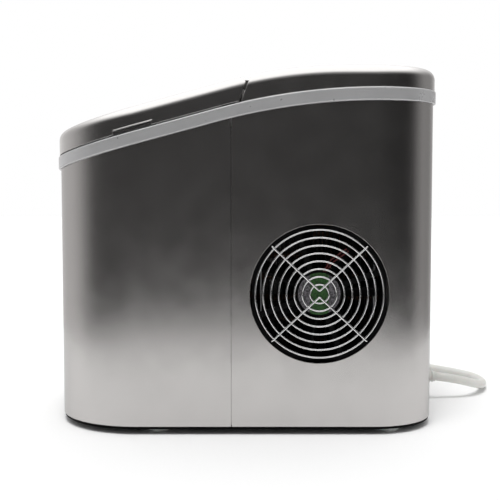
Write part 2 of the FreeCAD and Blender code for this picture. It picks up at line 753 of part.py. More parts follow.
# ================================================================ fan
def fan_guard():
    wires = []
    for i in range(GUARD_RINGS):
        ring = Part.makeTorus(GUARD_FIRST + GUARD_PITCH * i, GUARD_WIRE,
                              V(GUARD_X, FAN_Y, FAN_Z), V(1, 0, 0))
        wires.append(ring)
    for sign in (-1, 1):
        ends = [V(FAN_X[1], FAN_Y - STRUT_END, FAN_Z + sign * STRUT_END),
                V(STRUT_X, FAN_Y - STRUT_END, FAN_Z + sign * STRUT_END),
                V(STRUT_X, FAN_Y, FAN_Z + sign * STRUT_APEX),
                V(STRUT_X, FAN_Y + STRUT_END, FAN_Z + sign * STRUT_END),
                V(FAN_X[1], FAN_Y + STRUT_END, FAN_Z + sign * STRUT_END)]
        wires.append(tube(ends, GUARD_WIRE, 1.2))
    return fuse(wires)


def fan_frame():
    x0, x1 = FAN_X
    body = block(x0, x1, FAN_Y - FAN_HALF, FAN_Y + FAN_HALF, FAN_Z - FAN_HALF, FAN_Z + FAN_HALF)
    long_edges = [e for e in body.Edges if abs(e.tangentAt(e.FirstParameter).x) > 0.9]
    body = body.makeFillet(4, long_edges)
    body = body.cut(rod_x(x0 - 1, x1 + 1, FAN_Y, FAN_Z, FAN_BORE))
    waist = rod_x(x0 + FAN_PLATE, x1 - FAN_PLATE, FAN_Y, FAN_Z, 2 * FAN_HALF)
    body = body.cut(waist.cut(rod_x(x0, x1, FAN_Y, FAN_Z, FAN_BORE + 2)))
    hub = rod_x(FAN_HUB_FLOOR, x1 - 0.6, FAN_Y, FAN_Z, FAN_HUB)
    spokes = []
    count, first = FAN_SPOKES
    for k in range(count):
        spoke = block(FAN_HUB_FLOOR + 3, x1 - 2, FAN_Y + FAN_HUB - 2, FAN_Y + FAN_BORE + 1.5,
                      FAN_Z - FAN_SPOKE / 2, FAN_Z + FAN_SPOKE / 2)
        spoke.rotate(V(0, FAN_Y, FAN_Z), V(1, 0, 0), first + 360.0 * k / count)
        spokes.append(spoke)
    body = fuse([body, hub] + spokes)
    body = body.cut(rod_x(x0, FAN_HUB_FLOOR + 4, FAN_Y, FAN_Z, FAN_SHAFT_R + RUNNING))
    for y, z in fan_screw_places():
        body = body.cut(rod_x(x0 - 1, x1 + 1, y, z, FAN_SCREW_R + RIM_CLEAR))
    return body


def fan_screws():
    screws = []
    for y, z in fan_screw_places():
        shank = rod_x(FAN_X[0] - 0.5, SIDE - 1, y, z, FAN_SCREW_R)
        head = rod_x(FAN_X[0] - 2.5, FAN_X[0], y, z, 2 * FAN_SCREW_R)
        screws.append(shank.fuse(head))
    return Part.makeCompound(screws)


def fan_impeller():
    hub_r, inner_end = ROTOR_HUB
    hub = rod_x(inner_end, FAN_HUB_FLOOR - 1, FAN_Y, FAN_Z, hub_r)
    shaft = rod_x(FAN_HUB_FLOOR - 2, FAN_HUB_FLOOR + 3, FAN_Y, FAN_Z, FAN_SHAFT_R)
    half = BLADE_CHORD / 2
    slab = block(-BLADE_DEPTH / 2, BLADE_DEPTH / 2, 0, BLADE_CHORD * 2, -BLADE_CHORD, BLADE_CHORD)
    blades = []
    for k in range(FAN_BLADES):
        blade = block(-1, 1, BLADE_ROOT, BLADE_TIP, -half, half)
        blade.rotate(V(0, 0, 0), V(0, 1, 0), BLADE_PITCH)
        blade = blade.common(slab)
        blade.rotate(V(0, 0, 0), V(1, 0, 0), 360.0 * k / FAN_BLADES)
        blade.translate(V(BLADE_X, FAN_Y, FAN_Z))
        blades.append(blade)
    rotor = fuse([hub, shaft] + blades)
    return rotor.common(rod_x(FAN_X[0] - 10, FAN_X[1], FAN_Y, FAN_Z, ROTOR_R))


def fan_label():
    return rod_x(FAN_X[1] - 0.6, FAN_X[1] - 0.35, FAN_Y, FAN_Z, FAN_HUB - 1.2)


def fan_leads():
    leads = []
    x = FAN_X[1] - 1.4
    for k in range(2):
        shift = LEAD_PITCH * k
        near = FAN_Y + LEAD_START + shift
        route = [V(x, near, FAN_Z + FAN_HUB - 1), V(x, near + LEAD_OUT[0], FAN_Z + LEAD_RISE[0] - shift),
                 V(x, near + LEAD_OUT[1], FAN_Z + LEAD_RISE[1] - shift)]
        lead = tube(route, LEAD_R, LEAD_BEND)
        leads.append(lead.cut(rod_x(FAN_X[0], FAN_X[1], FAN_Y, FAN_Z, FAN_HUB)))
    return Part.makeCompound(leads)


# ================================================================ tub and ice making
def tub_space(inset, floor, ledge, rear, alcove):
    tall = TOP_Z + 20
    lower = plan_prism(-inset, floor, tall).common(block(-SIDE, SIDE, -ENDS, rear, 0, tall))
    upper = plan_prism(-inset, ledge, tall).common(block(-SIDE, SIDE, -ENDS, alcove, 0, tall))
    return lower.fuse(upper).removeSplitter()


def inner_tub():
    inner_inset = TUB_INSET + TUB_WALL
    outer = tub_space(TUB_INSET, TUB_FLOOR, ALCOVE_Z, TUB_REAR, ALCOVE_REAR)
    inner = tub_space(inner_inset, TUB_FLOOR + TUB_WALL, ALCOVE_Z + TUB_WALL,
                      TUB_REAR - TUB_WALL, ALCOVE_REAR - TUB_WALL)
    body = outer.cut(inner).common(under(EDGE, DECK[0]))
    wall_x = SIDE - TUB_INSET
    bosses = [rod_x(BOSS_X, wall_x - 1, TRAY_Y, TRAY_Z, TRAY_BOSS_R)]
    for x0, x1 in ((BOSS_X, wall_x - 1), (1 - wall_x, -BOSS_X)):
        bosses.append(rod_x(x0, x1, SHOVEL_Y, SHOVEL_Z, SHOVEL_BOSS_R))
    ledge = plan_prism(-inner_inset + 0.5, BASKET_Z[0] - TUB_LEDGE, BASKET_Z[0])
    ledge = ledge.cut(plan_prism(-BASKET_INSET - 4, 0, 200))
    ledge = ledge.common(block(-SIDE, SIDE, -145, BASKET_REAR - 4, 0, 200))
    body = fuse([body, ledge] + bosses)
    cuts = [rod_x(80, 101, TRAY_Y, TRAY_Z, TRAY_SHAFT + RUNNING),
            rod_x(-102, 102, SHOVEL_Y, SHOVEL_Z, SHOVEL_SHAFT + RUNNING),
            rod_z(40, 80, DRAIN[0], DRAIN[1], DRAIN_BORE),
            rod_z(40, 80, PUMP[0], PUMP[1], INLET_HOSE[1]),
            rod_x(100, 115, PUMP[1], FILL_END[1], WALL_PASS)]
    for y in EVAPORATOR_Y:
        cuts.append(rod_x(100, 115, y, EVAPORATOR_Z, WALL_PASS))
    return body.cut(Part.makeCompound(cuts))


def tank_insulation():
    jacket = plan_prism(-SHELL_WALL - 0.8, 56, TOP_Z).cut(plan_prism(-TUB_INSET + 0.2, 0, TOP_Z + 50))
    jacket = jacket.common(under(EDGE, -8))
    return jacket.common(block(-SIDE, SIDE, -ENDS, SHOVEL_Y - 4, 0, TOP_Z))


def drain_spout():
    flange_r, thick = DRAIN_FLANGE
    stem = rod_z(DRAIN_END, TUB_FLOOR, DRAIN[0], DRAIN[1], DRAIN_R)
    flange = rod_z(TUB_FLOOR - thick, TUB_FLOOR, DRAIN[0], DRAIN[1], flange_r)
    return stem.fuse(flange).cut(rod_z(0, TUB_FLOOR + 1, DRAIN[0], DRAIN[1], DRAIN_BORE))


def drain_cap():
    low, high = CAP_Z
    x, y = DRAIN
    cap = rod_z(low, high, x, y, CAP_R)
    cap = cap.makeFillet(1, [cap.Edges[2]])
    cap = cap.cut(rod_z(low + CAP_FLOOR, high + 1, x, y, DRAIN_R + RUNNING))
    ring = CAP_R + GRIP_R / 2
    grips = []
    for k in range(CAP_GRIPS):
        angle = 2 * math.pi * k / CAP_GRIPS
        grips.append(rod_z(0, high + 1, x + ring * math.cos(angle), y + ring * math.sin(angle), GRIP_R))
    return cap.cut(Part.makeCompound(grips))


def evaporator_tube():
    front, rear = EVAPORATOR_Y
    z = EVAPORATOR_Z
    low = z - RETURN_DROP
    points = [V(CHANNEL_X, CHANNEL_END_Y, z), V(CHANNEL_X, rear, z), V(LOOP_X, rear, z),
              V(LOOP_X, front, z), V(CHANNEL_X, front, z), V(CHANNEL_X, front, low),
              V(CHANNEL_X, CHANNEL_END_Y, low)]
    return tube(points, PIPE_R, PIPE_BEND)


def finger_places():
    front, rear = EVAPORATOR_Y
    return ([(FINGER_PITCH * k, front) for k in range(-2, 3)]
            + [(FINGER_PITCH * (k - 1.5), rear) for k in range(4)])


def evaporator_fingers():
    fingers = []
    for x, y in finger_places():
        finger = rod_z(FINGER_BOTTOM, EVAPORATOR_Z + 1, x, y, FINGER_R)
        finger = finger.makeFillet(4.5, [finger.Edges[2]])
        fingers.append(finger.cut(rod_x(-90, 90, y, EVAPORATOR_Z, PIPE_R)))
    return Part.makeCompound(fingers)


def water_tray():
    inner = TRAY_R - TRAY_WALL
    ring = rod_x(-TRAY_X, TRAY_X, 0, 0, TRAY_R).cut(rod_x(-TRAY_X, TRAY_X, 0, 0, inner))
    brim_z = -TRAY_R * math.sin(math.radians(TRAY_EDGE))
    trough = ring.common(block(-100, 100, -60, 60, -60, brim_z))
    pieces = [trough]
    for sign in (-1, 1):
        x0, x1 = sorted((sign * TRAY_X, sign * (TRAY_X + TRAY_WALL)))
        end = rod_x(x0, x1, 0, 0, TRAY_R).common(block(-100, 100, -60, 60, -60, -TRAY_BRIM))
        arm = block(x0, x1, -TRAY_ARM / 2, TRAY_ARM / 2, -TRAY_BRIM - 1, 0)
        x0, x1 = sorted((sign * TRAY_X, sign * (TRAY_X + 10)))
        hub = rod_x(x0, x1, 0, 0, TRAY_HUB)
        x0, x1 = sorted((sign * (TRAY_X + 9), sign * 100))
        pieces += [end, arm, hub, rod_x(x0, x1, 0, 0, TRAY_SHAFT)]
    tray = fuse(pieces)
    tray.translate(V(0, TRAY_Y, TRAY_Z))
    return tray


def tray_gearmotor():
    wall = -(SIDE - TUB_INSET - TUB_WALL)
    box = rounded_block(wall, -90, TRAY_Y - 22, TRAY_Y + 26, TRAY_Z - 24, TRAY_Z + 20, 3)
    return box.cut(rod_x(-101, -80, TRAY_Y, TRAY_Z, TRAY_SHAFT + RUNNING))


def ice_shovel():
    plate = block(-SHOVEL_X, SHOVEL_X, -1.25, 1.25, -SHOVEL_LENGTH, 0)
    shaft = rod_x(-100, 100, 0, 0, SHOVEL_SHAFT)
    cuts = [block(28 * k - 3, 28 * k + 3, -5, 5, -SHOVEL_LENGTH - 1, -22) for k in range(-2, 3)]
    blade = fuse([plate, shaft]).cut(Part.makeCompound(cuts))
    blade.translate(V(0, SHOVEL_Y, SHOVEL_Z))
    return blade


def ice_basket():
    low, high = BASKET_Z
    reach = block(-SIDE, SIDE, -ENDS, BASKET_REAR, 0, 400)
    outer = plan_prism(-BASKET_INSET, low, high).common(reach)
    inside = block(-SIDE, SIDE, -ENDS, BASKET_REAR - BASKET_WALL, 0, 400)
    inner = plan_prism(-BASKET_INSET - BASKET_WALL, low + BASKET_WALL, high + 1).common(inside)
    slots = []
    for k in range(7):
        y = -138 + 10 * k
        for x0 in (-66.0, 4.0):
            slots.append(block(x0, x0 + 62, y, y + 5, low - 1, low + 4))
    for k in range(12):
        x = -79.5 + 14 * k
        slots.append(block(x - 2.5, x + 2.5, BASKET_REAR - 4, BASKET_REAR + 1, 140, 200))
    return outer.cut(inner).cut(Part.makeCompound(slots))


def ice_full_sensor():
    wall = SIDE - TUB_INSET - TUB_WALL
    eye = rounded_block(wall - 4, wall, -92, -76, 230, 242, 0.8)
    return Part.makeCompound([eye, mirror_x(eye)])


def water_level_sensor():
    floor = TUB_FLOOR + TUB_WALL
    stem = rod_z(floor, floor + 45, -60, -40, 3).fuse(rod_z(floor, floor + 3, -60, -40, 8))
    stem = stem.fuse(rod_z(floor + 43, floor + 45, -60, -40, 5))
    ring = rod_z(floor + 12, floor + 24, -60, -40, 10).cut(rod_z(floor, 200, -60, -40, 3.4))
    return Part.makeCompound([stem, ring])


# ================================================================ water pump
def water_pump():
    x, y = PUMP
    floor, roof_z = PUMP_CHAMBER
    neck_r, neck_top = PUMP_NECK
    port_r, reach, port_z = PUMP_PORT
    body = fuse([rod_z(SHELL_BOTTOM, floor, x, y, PUMP_R), rod_z(floor - 1, roof_z, x, y, PUMP_R + 2),
                 rod_z(roof_z - 1, neck_top, x, y, neck_r), rod_x(x, x + reach, y, port_z, port_r)])
    cuts = [rod_z(floor + 2, roof_z - PUMP_WALL, x, y, PUMP_R - 2),
            rod_z(roof_z - PUMP_WALL - 1, neck_top + 1, x, y, neck_r - 1.5),
            rod_x(x + 10, x + reach + 1, y, port_z, port_r - 1.6),
            rod_z(floor - 4, floor + 3, x, y, PUMP_SHAFT_R + RUNNING)]
    return body.cut(Part.makeCompound(cuts))


def pump_impeller():
    x, y = PUMP
    low = PUMP_CHAMBER[0] + 3
    pieces = [rod_z(low, low + 2, x, y, PUMP_R - 3.5), rod_z(low - 6, low + 1, x, y, PUMP_SHAFT_R)]
    for k in range(VANES):
        vane = block(x + 4, x + PUMP_R - 4, y - 0.8, y + 0.8, low + 1.5, low + 6)
        vane.rotate(V(x, y, 0), V(0, 0, 1), 360.0 * k / VANES)
        pieces.append(vane)
    return fuse(pieces)


def pump_inlet_hose():
    x, y = PUMP
    outer, inner = INLET_HOSE
    low = PUMP_CHAMBER[1] + 1
    return rod_z(low, TUB_FLOOR, x, y, outer).cut(rod_z(low - 1, TUB_FLOOR + 1, x, y, inner))


def fill_hose():
    x, y = PUMP
    _, reach, port_z = PUMP_PORT
    end_x, end_z = FILL_END
    points = [V(x + reach, y, port_z), V(CHANNEL_X, y, port_z), V(CHANNEL_X, y, end_z),
              V(end_x, y, end_z)]
    return hollow_tube(points, FILL_HOSE[0], FILL_HOSE[1], PIPE_BEND)


# ================================================================ refrigeration circuit
def fin_plate(y, thick, x0, x1, z0, z1):
    plate = block(x0, x1, y, y + thick, z0, z1)
    holes = [rod_y(y - 1, y + thick + 1, sum(CONDENSER_X) / 2, TUBE_LOW_Z + TUBE_PITCH * k, PIPE_R + 0.3)
             for k in range(TUBE_ROWS)]
    return plate.cut(Part.makeCompound(holes))


def condenser_fins():
    x0, x1 = CONDENSER_X
    z0, z1 = CONDENSER_Z
    count = int((CONDENSER_Y[1] - CONDENSER_Y[0]) / FIN_PITCH) - 1
    first = fin_plate(CONDENSER_Y[0] + FIN_PITCH, FIN_THICK, x0, x1, z0, z1)
    fins = []
    for k in range(count):
        fin = first.copy()
        fin.translate(V(0, FIN_PITCH * k, 0))
        fins.append(fin)
    return Part.makeCompound(fins)


def condenser_end_plates():
    x0, x1 = CONDENSER_X
    z1 = CONDENSER_Z[1] + 2
    plates = []
    for y in CONDENSER_Y:
        plate = fin_plate(y, 1.2, x0 - 2, x1 + 2, SHELL_BOTTOM, z1)
        plates.append(plate)
    return Part.makeCompound(plates)


def condenser_tube():
    x = sum(CONDENSER_X) / 2
    near, far = CONDENSER_Y[0] - 12, CONDENSER_Y[1] + 12
    high = TUBE_LOW_Z + TUBE_PITCH * (TUBE_ROWS - 1)
    points = [V(x, TUBE_END_Y, high)]
    for row in range(TUBE_ROWS - 1):
        z = high - TUBE_PITCH * row
        y = near if row % 2 == 0 else far
        points += [V(x, y, z), V(x, y, z - TUBE_PITCH)]
    points.append(V(x, TUBE_END_Y, TUBE_LOW_Z))
    return tube(points, PIPE_R, TUBE_PITCH / 2 - 0.1)


def compressor():
    x, y = COMPRESSOR
    low, high = COMPRESSOR_Z
    can = rod_z(low, high, x, y, COMPRESSOR_R)
    can = can.makeFillet(DOME, [e for e in can.Edges if e.Length > 300])
    seam = rod_z(CAN_SEAM[0], CAN_SEAM[1], x, y, COMPRESSOR_R + 1.5)
    end, out_y, out_z = DISCHARGE
    in_x, in_y, in_z = SUCTION
    stubs = [rod_x(x + 30, end, out_y, out_z, STUB_R), rod_z(high - 10, in_z, in_x, in_y, STUB_R)]
    lug_r, lug_low, lug_top = LUG
    lugs = []
    for px, py in mount_places():
        lugs.append(rod_z(lug_low, lug_top, px, py, lug_r))
        lugs.append(rod_z(lug_low, low + 12, x + 0.7 * (px - x), y + 0.7 * (py - y), lug_r))
        bridge = block(0, 30, -lug_r, lug_r, lug_low, lug_top)
        bridge.rotate(V(0, 0, 0), V(0, 0, 1), math.degrees(math.atan2(py - y, px - x)))
        bridge.translate(V(x + 0.45 * (px - x), y + 0.45 * (py - y), 0))
        lugs.append(bridge)
    body = fuse([can, seam] + stubs + lugs)
    wall = COMPRESSOR_WALL
    inside = rod_z(low + wall, high - wall, x, y, COMPRESSOR_R - wall)
    inside = inside.makeFillet(DOME - 2, [e for e in inside.Edges if e.Length > 280])
    inside = inside.cut(rod_z(low, MOTOR_TOP, x, y, MOTOR_R))
    bore = rod_x(x + 44, end + 2, out_y, out_z, STUB_BORE)
    holes = [rod_z(lug_low - 4, lug_top + 2, px, py, MOUNT_PIN_R) for px, py in mount_places()]
    return body.cut(Part.makeCompound([inside.fuse(bore)] + holes))


def mount_places():
    x, y = COMPRESSOR
    turns = [math.radians(a) for a in MOUNT_ANGLES]
    return [(x + MOUNT_RING * math.cos(a), y + MOUNT_RING * math.sin(a)) for a in turns]


def compressor_mounts():
    lug_low, lug_top = LUG[1:]
    mounts = []
    for px, py in mount_places():
        pad = rod_z(SHELL_BOTTOM, lug_low, px, py, MOUNT_R)
        mounts.append(pad.fuse(rod_z(lug_low - 4, lug_top + 2, px, py, MOUNT_PIN_R)))
    return Part.makeCompound(mounts)


def compressor_terminal_cover():
    x, y = COMPRESSOR
    near = y - COMPRESSOR_R
    box = rounded_block(x - 17, x + 17, near - 10, near + 4, 100, 140, 2)
    return box.cut(rod_z(COMPRESSOR_Z[0], TOP_Z, x, y, COMPRESSOR_R + 0.05))


def suction_pipe():
    x, y, top = SUCTION
    z = EVAPORATOR_Z
    points = [V(CHANNEL_X, CHANNEL_END_Y, z), V(CHANNEL_X, y, z), V(x, y, z), V(x, y, top)]
    return tube(points, PIPE_R, PIPE_BEND)


def discharge_pipe():
    x = sum(CONDENSER_X) / 2
    start, y, z = DISCHARGE
    high = TUBE_LOW_Z + TUBE_PITCH * (TUBE_ROWS - 1)
    points = [V(start, y, z), V(RISER_X, y, z), V(RISER_X, y, RISER_Z), V(RISER_X, REAR_RUN_Y, RISER_Z),
              V(x, REAR_RUN_Y, RISER_Z), V(x, REAR_RUN_Y, high), V(x, TUBE_END_Y, high)]
    return tube(points, PIPE_R, PIPE_BEND)


def hot_gas_pipe():
    """Branch from the riser to the valve, and from the valve up to the evaporator."""
    y = DISCHARGE[1]
    inlet, outlet = VALVE_X
    branch_z = RISER_Z - 40
    start = tube([V(RISER_X, y, branch_z), V(RISER_X + 16, y, branch_z), V(RISER_X + 16, y, HOT_Z),
                  V(inlet, y, HOT_Z)], PIPE_R, PIPE_BEND)
    start = start.cut(rod_z(branch_z - 40, branch_z + 40, RISER_X, y, PIPE_R))
    low = EVAPORATOR_Z - RETURN_DROP
    end = tube([V(outlet, y, HOT_Z), V(CHANNEL_X, y, HOT_Z), V(CHANNEL_X, y, low),
                V(CHANNEL_X, CHANNEL_END_Y, low)], PIPE_R, PIPE_BEND)
    return Part.makeCompound([start, end])


def hot_gas_valve():
    x0, x1 = VALVE_X
    x = (x0 + x1) / 2
    y = DISCHARGE[1]
    coil_low = HOT_Z + 11
    coil_top = coil_low + 22
    body = rod_x(x0, x1, y, HOT_Z, 6).fuse(rod_z(HOT_Z, coil_low, x, y, 6))
    coil = rounded_block(x0, x1, y - 11, y + 11, coil_low, coil_top, 3)
    return fuse([body, coil, rod_z(coil_top - 1, coil_top + 3, x, y, 4)])


def liquid_pipe():
    x = sum(CONDENSER_X) / 2
    drier_x, y, low = DRIER[:3]
    points = [V(x, TUBE_END_Y, TUBE_LOW_Z), V(x, y, TUBE_LOW_Z), V(drier_x, y, TUBE_LOW_Z),
              V(drier_x, y, low)]
    return tube(points, PIPE_R, PIPE_BEND)


def filter_drier():
    x, y, low, high, radius = DRIER
    can = rod_z(low, high, x, y, radius)
    return can.makeFillet(5, [e for e in can.Edges if e.Length > 50])


def capillary_tube():
    x, y, _, high, _ = DRIER
    points = [V(x, y, high), V(x, y, HOT_Z), V(CAPILLARY_X, y, HOT_Z),
              V(CAPILLARY_X, DISCHARGE[1] + PIPE_R, HOT_Z)]
    return tube(points, CAPILLARY_R, 10)


# ================================================================ electrics and cord
def power_board():
    """Board with its transformer, capacitors, relays and two bosses, joined into one."""
    y = BOARD_Y
    back = y + BOARD_THICK
    pieces = [block(-90, -6, y, back, 184, 254)]
    pieces.append(rounded_block(-84, -50, y - 22, y + 0.1, 190, 222, 1))
    pieces.append(rod_y(y - 24, y + 0.1, -34, 202, 9))
    pieces.append(rod_y(y - 18, y + 0.1, -14, 198, 6))
    for k in range(3):
        pieces.append(block(-84 + 24 * k, -66 + 24 * k, y - 14, y + 0.1, 230, 246))
    pieces.append(block(-90, -86, back - 0.1, y + 4, 212, 226))
    pieces.append(block(-10, -6, back - 0.1, ENDS - SHELL_WALL - 2, 212, 226))
    return fuse(pieces)


def strain_relief():
    x, z = CORD_EXIT.x, CORD_EXIT.z
    neck = rod_y(ENDS - SHELL_WALL - 2, ENDS + 0.2, x, z, RELIEF_R)
    collar = rod_y(ENDS, ENDS + 2.2, x, z, RELIEF_R + 2)
    taper = Part.makeCone(7.2, 5.2, CORD_EXIT.y - ENDS - 2, V(x, ENDS + 2, z), V(0, 1, 0))
    return fuse([neck, collar, taper])


def cord_route():
    """Lead from the strain relief, round a wide bend on the floor, to the put-away coil."""
    floor = CORD_R
    side = COIL_CENTRE[0] - COIL_RING - CORD_R
    return [CORD_EXIT, V(-26.3, 220, 21.3), V(-35.5, 240.5, 15), V(-56, 256.5, 8), V(-87, 266, floor),
            V(-117, 264, floor), V(-142, 249.5, floor), V(-166, 227, floor), V(-196, 204, floor),
            V(-224, 177, floor), V(-242, 145, floor), V(side - 1.5, 112, floor),
            V(side, COIL_CENTRE[1] + 24, floor)]


def power_cord():
    radii = []
    route = cord_route()
    lead = tube(route, CORD_R, None, radii)
    length = bent_wire(route).Length
    print("cord radii", [round(r, 1) for r in radii])
    print("cord length %.1f, volume ratio %.4f" % (length, lead.Volume / (math.pi * CORD_R ** 2 * length)))
    return lead


def cord_coil():
    x, y = COIL_CENTRE
    outer = rod_z(0, COIL_Z, x, y, COIL_RING + 2 * CORD_R)
    ring = outer.cut(rod_z(-1, COIL_Z + 1, x, y, COIL_RING - 2 * CORD_R))
    return ring.makeFillet(CORD_R - 0.5, [e for e in ring.Edges if e.Length > 200])


def tail_route():
    """End of the lead, from the top of the coil down to the plug."""
    side = COIL_CENTRE[0] - COIL_RING - CORD_R
    return [V(side, COIL_CENTRE[1] - 24, COIL_Z - CORD_R), V(side + 0.6, 16, COIL_Z - CORD_R - 0.6),
            V(side + 3.8, -8, 11), V(side + 5, PLUG_Y, 10)]


def cord_tail():
    radii = []
    tail = tube(tail_route(), CORD_R, None, radii)
    print("tail radii", [round(r, 1) for r in radii], "length %.1f" % bent_wire(tail_route()).Length)
    return tail


def cord_tie():
    x, y = COIL_CENTRE
    mid = x + COIL_RING
    wide = 2 * CORD_R + 1.3
    strap = rounded_block(mid - wide, mid + wide, y - 5, y + 5, 0, COIL_Z + 1.3, 0.6)
    hole = block(mid - wide + 1.2, mid + wide - 1.2, y - 6, y + 6, -1, COIL_Z + 0.1)
    return strap.cut(hole)


def plug():
    """Two-blade grounded plug at the end of the lead."""
    end = tail_route()[-1]
    x, y, z = end.x, end.y, end.z
    half, length, tall = PLUG_BODY
    thick, deep, reach = BLADE
    neck = Part.makeCone(5.4, 8, 14, V(x, y, z), V(0, -1, 0))
    body = block(x - half, x + half, y - length, y - 12, z - tall, z + tall)
    body = body.makeFillet(4, body.Edges)
    pieces = [neck, body]
    face = y - length
    for side in (-PIN_SPACING / 2, PIN_SPACING / 2):
        middle = x + side
        pieces.append(block(middle - thick / 2, middle + thick / 2, face - reach + 1, face + 1,
                            z - 1.2, z - 1.2 + deep))
    pieces.append(rod_y(face - reach - 3, face + 1, x, z - 4.6, 2.4))
    return fuse(pieces)


# ================================================================ build everything
def main():
    os.makedirs("parts", exist_ok=True)
    outer, skin = roof_skin()
    makers = [base_tray, feet, base_screws, front_shell, rear_shell, rear_panel, rear_panel_screws,
              rating_plate, top_frame, lid_window, lid_hinge_pins, control_panel, indicator_lenses,
              control_board, fan_guard, fan_frame, fan_screws, fan_impeller, fan_label, fan_leads,
              inner_tub, tank_insulation, drain_spout, drain_cap, evaporator_tube,
              evaporator_fingers, water_tray, tray_gearmotor, ice_shovel, ice_basket,
              ice_full_sensor, water_level_sensor, water_pump, pump_impeller, pump_inlet_hose,
              fill_hose, condenser_fins, condenser_end_plates, condenser_tube, compressor,
              compressor_mounts, compressor_terminal_cover, suction_pipe, discharge_pipe,
              hot_gas_pipe, hot_gas_valve, liquid_pipe, filter_drier, capillary_tube, power_board,
              strain_relief, power_cord, cord_coil, cord_tail, cord_tie, plug]
    save("lid_frame", lid_frame(outer, skin))
    save("top_cover", top_cover(outer, skin))
    save("power_button", button(-BUTTON_X))
    save("select_button", button(BUTTON_X))
    for make in makers:
        save(make.__name__, make())


main()
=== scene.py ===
"""Looks for the countertop ice maker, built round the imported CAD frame.  Metres, +Z up."""
import json
import math

import bmesh
import bpy
from mathutils import Matrix, Vector


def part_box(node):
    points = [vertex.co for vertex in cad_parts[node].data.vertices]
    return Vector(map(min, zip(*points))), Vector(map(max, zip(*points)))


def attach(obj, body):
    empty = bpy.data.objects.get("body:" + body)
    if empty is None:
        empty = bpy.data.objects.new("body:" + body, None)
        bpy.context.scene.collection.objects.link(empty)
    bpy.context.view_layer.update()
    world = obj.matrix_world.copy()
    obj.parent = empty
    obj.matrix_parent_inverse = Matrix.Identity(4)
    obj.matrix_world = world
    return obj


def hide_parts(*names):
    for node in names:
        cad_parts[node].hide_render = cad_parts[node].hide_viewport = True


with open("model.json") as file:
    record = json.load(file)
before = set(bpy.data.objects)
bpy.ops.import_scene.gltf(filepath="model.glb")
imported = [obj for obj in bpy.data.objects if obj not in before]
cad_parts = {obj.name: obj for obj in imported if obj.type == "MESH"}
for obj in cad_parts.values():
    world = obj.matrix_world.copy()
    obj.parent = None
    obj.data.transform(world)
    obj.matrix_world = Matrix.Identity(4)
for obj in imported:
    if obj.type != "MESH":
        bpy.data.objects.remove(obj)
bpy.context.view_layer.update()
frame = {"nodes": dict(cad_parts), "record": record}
NODES = frame["nodes"]
MM = 0.001

# ---------------------------------------------------------------- camera
CAMERA_AT = Vector((0.9386, 0.0066, 0.2205))
CAMERA_PITCH = 3.82          # degrees below the horizon
SENSOR = 36.0
LENS = 67.1

# ---------------------------------------------------------------- mains cord, millimetres
CORD_R = 4.5
CORD_ROUTE = [(-25, 200, 24), (-26.3, 220, 21.3), (-35.5, 240.5, 15), (-56, 256.5, 8), (-87, 266, 4.5),
              (-117, 264, 4.5), (-142, 249.5, 4.5), (-166, 227, 4.5), (-196, 204, 4.5),
              (-224, 177, 4.5), (-242, 145, 4.5), (-248, 112, 4.5), (-246.7, 88, 4.5)]
TAIL_ROUTE = [(-246.5, 38, 13.5), (-245.9, 16, 12.9), (-242.7, -8, 11), (-241.5, -30, 10)]
COIL_CENTRE = (-188.0, 62.0)
COIL_RING = 54.0
POINTS_PER_TURN = 16
CROSSING = 0.8               # share of a turn after which the cord shifts over to the next turn


def make_camera():
    data = bpy.data.cameras.new("camera")
    data.sensor_width = SENSOR
    data.lens = LENS
    camera = bpy.data.objects.new("camera", data)
    camera.location = CAMERA_AT
    camera.rotation_euler = (math.radians(90 - CAMERA_PITCH), 0, math.radians(90))
    bpy.context.scene.collection.objects.link(camera)
    bpy.context.scene.camera = camera


make_camera()


# ================================================================ material making
def link(tree, source, socket):
    tree.links.new(source, socket)


def add(tree, kind, **settings):
    node = tree.nodes.new(kind)
    for key, value in settings.items():
        if key in node.inputs:
            node.inputs[key].default_value = value
        else:
            setattr(node, key, value)
    return node


def noise(tree, coords, scale, detail=4.0, stretch=None, roughness=0.5):
    vector = coords
    if stretch:
        mapping = add(tree, "ShaderNodeMapping")
        mapping.inputs["Scale"].default_value = stretch
        link(tree, coords, mapping.inputs["Vector"])
        vector = mapping.outputs["Vector"]
    node = add(tree, "ShaderNodeTexNoise", Scale=scale, Detail=detail, Roughness=roughness)
    link(tree, vector, node.inputs["Vector"])
    return node.outputs["Fac"]


def cells(tree, coords, scale):
    node = add(tree, "ShaderNodeTexVoronoi", Scale=scale)
    link(tree, coords, node.inputs["Vector"])
    return node.outputs["Distance"]


def ramp(tree, value, low, high, out_low, out_high, kind="LINEAR"):
    node = add(tree, "ShaderNodeMapRange", interpolation_type=kind)
    for name, number in (("From Min", low), ("From Max", high), ("To Min", out_low), ("To Max", out_high)):
        node.inputs[name].default_value = number
    link(tree, value, node.inputs["Value"])
    return node.outputs["Result"]


def math_node(tree, operation, *values):
    node = add(tree, "ShaderNodeMath", operation=operation)
    for socket, value in zip(node.inputs, values):
        if isinstance(value, (int, float)):
            socket.default_value = value
        else:
            link(tree, value, socket)
    return node.outputs[0]


def blend_colours(tree, factor, first, second):
    """Mix of two colours, each three numbers or another node's output."""
    node = add(tree, "ShaderNodeMix", data_type="RGBA")
    sides = [socket for socket in node.inputs if socket.type == "RGBA"]
    for socket, colour in zip(sides, (first, second)):
        if isinstance(colour, tuple):
            socket.default_value = (*colour, 1)
        else:
            link(tree, colour, socket)
    link(tree, factor, node.inputs[0])
    return [socket for socket in node.outputs if socket.type == "RGBA"][0]


def axis_parts(tree, coords):
    split = add(tree, "ShaderNodeSeparateXYZ")
    link(tree, coords, split.inputs["Vector"])
    return split.outputs


def object_coords(tree):
    return add(tree, "ShaderNodeTexCoord").outputs["Object"]


